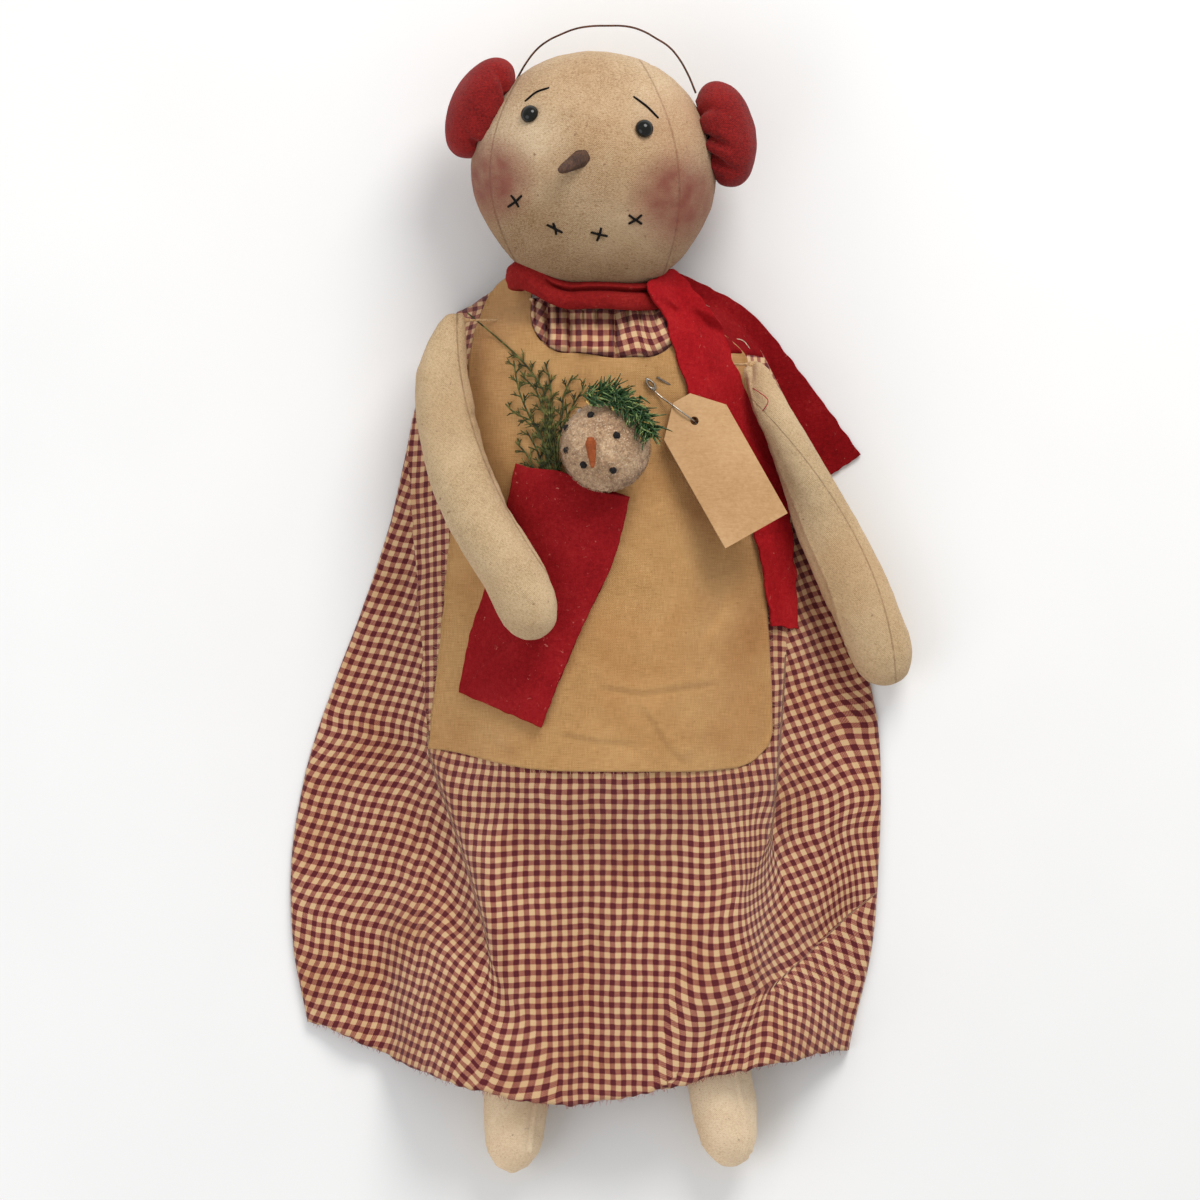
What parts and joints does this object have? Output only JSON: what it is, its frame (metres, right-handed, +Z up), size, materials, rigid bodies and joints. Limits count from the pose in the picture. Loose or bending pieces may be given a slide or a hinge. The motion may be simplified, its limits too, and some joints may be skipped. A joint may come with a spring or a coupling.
{
  "type": "primitive cloth doll",
  "caption": "Primitive stuffed cloth doll lying on its back, with jointed head, arms and legs, felt scarf, apron with a stocking pocket, small ornament and a bare hang tag.",
  "frame": {"origin": "on the surface the doll lies on, under the middle of the back of the dress", "axes": "+Y towards the crown of the head, +Z up from the back to the front of the doll, +X to the viewer's right when looking down at the front"},
  "size_m": [0.3389, 0.6244, 0.123],
  "materials": {
    "muslin": "tea-stained plain weave, stuffed",
    "pale_muslin": "unbleached plain weave, stuffed",
    "check_cotton": "woven small check with tea stains",
    "apron_cotton": "plain weave with a raw frayed edge",
    "scarf_felt": "matt felt",
    "pocket_felt": "matt felt with pale lint",
    "muff_cotton": "stuffed plain cotton",
    "rusty_wire": "thin rusty wire",
    "black_bead": "polished black",
    "black_thread": "stranded black thread",
    "twig": "rough rusty brown",
    "snow_fleece": "looped and glittery",
    "orange_felt": "matt",
    "tinsel": "green tinsel with gold bits",
    "evergreen": "dull olive needles",
    "steel": "worn nickelled steel",
    "kraft_card": "plain kraft card, paler cut edges",
    "stitch_thread": "twisted cotton thread"
  },
  "bodies": {
    "torso": {"torso": "muslin", "bodice_front": "check_cotton", "bodice_back": "check_cotton", "neck_ruffle": "check_cotton", "apron": "apron_cotton", "pocket_back": "pocket_felt", "pocket_front": "pocket_felt", "sprig": "evergreen", "snow_ball": "snow_fleece", "snow_ball_nose": "orange_felt", "coal_dot_1": "black_bead", "coal_dot_2": "black_bead", "coal_dot_3": "black_bead", "coal_dot_4": "black_bead", "coal_dot_5": "black_bead", "coal_dot_6": "black_bead", "pine_crown": "tinsel", "pin_wire": "steel", "pin_cap": "steel", "scarf_wrap": "scarf_felt", "scarf_front_tail": "scarf_felt", "scarf_back_tail": "scarf_felt"},
    "neck": {"neck": "muslin"},
    "head": {"left_eye": "black_bead", "right_eye": "black_bead", "left_brow": "black_thread", "right_brow": "black_thread", "mouth_stitch_1": "black_thread", "mouth_stitch_2": "black_thread", "mouth_stitch_3": "black_thread", "mouth_stitch_4": "black_thread", "head": "muslin", "nose": "twig", "left_earmuff": "muff_cotton", "right_earmuff": "muff_cotton"},
    "headband": {"headband_wire": "rusty_wire"},
    "left_shoulder": {"left_shoulder_stitch": "stitch_thread"},
    "left_arm": {"left_arm": "pale_muslin"},
    "right_shoulder": {"right_shoulder_stitch": "stitch_thread"},
    "right_arm": {"right_arm": "pale_muslin"},
    "lap": {"skirt_front": "check_cotton", "skirt_back": "check_cotton"},
    "left_leg": {"left_leg": "pale_muslin"},
    "right_leg": {"right_leg": "pale_muslin"},
    "tag": {"tag": "kraft_card"}
  },
  "joints": [
    {"name": "neck_tilt", "type": "hinge", "parent": "torso", "child": "neck", "pos_m": [-0.005, 0.166, 0.0465], "axis": [0, 0, 1], "range_deg": [-8, 8]},
    {"name": "head_nod", "type": "hinge", "parent": "neck", "child": "head", "pos_m": [-0.005, 0.166, 0.0465], "axis": [1, 0, 0], "range_deg": [-6, 16]},
    {"name": "headband_swing", "type": "hinge", "parent": "head", "child": "headband", "pos_m": [-0.046, 0.281, 0.0535], "axis": [0.9981, -0.0611, 0], "range_deg": [-20, 20]},
    {"name": "left_arm_raise", "type": "hinge", "parent": "torso", "child": "left_shoulder", "pos_m": [-0.079, 0.152, 0.038], "axis": [-1, 0, 0], "range_deg": [0, 100]},
    {"name": "left_arm_swing", "type": "hinge", "parent": "left_shoulder", "child": "left_arm", "pos_m": [-0.079, 0.152, 0.038], "axis": [0, 0, -1], "range_deg": [0, 70]},
    {"name": "right_arm_raise", "type": "hinge", "parent": "torso", "child": "right_shoulder", "pos_m": [0.083, 0.128, 0.038], "axis": [-1, 0, 0], "range_deg": [0, 130]},
    {"name": "right_arm_swing", "type": "hinge", "parent": "right_shoulder", "child": "right_arm", "pos_m": [0.083, 0.128, 0.038], "axis": [0, 0, 1], "range_deg": [0, 60]},
    {"name": "hip_fold", "type": "hinge", "parent": "torso", "child": "lap", "pos_m": [0.002, -0.096, 0.0745], "axis": [-1, 0, 0], "range_deg": [0, 90]},
    {"name": "left_leg_swing", "type": "hinge", "parent": "lap", "child": "left_leg", "pos_m": [-0.029, -0.0973, 0.0195], "axis": [0, 0, 1], "range_deg": [-6, 6]},
    {"name": "right_leg_swing", "type": "hinge", "parent": "lap", "child": "right_leg", "pos_m": [0.033, -0.0973, 0.0195], "axis": [0, 0, 1], "range_deg": [-6, 6]},
    {"name": "tag_swing", "type": "hinge", "parent": "torso", "child": "tag", "pos_m": [0.051, 0.097, 0.069], "axis": [0.2977, 0.1684, 0.9397], "range_deg": [-8, 20]}
  ]
}
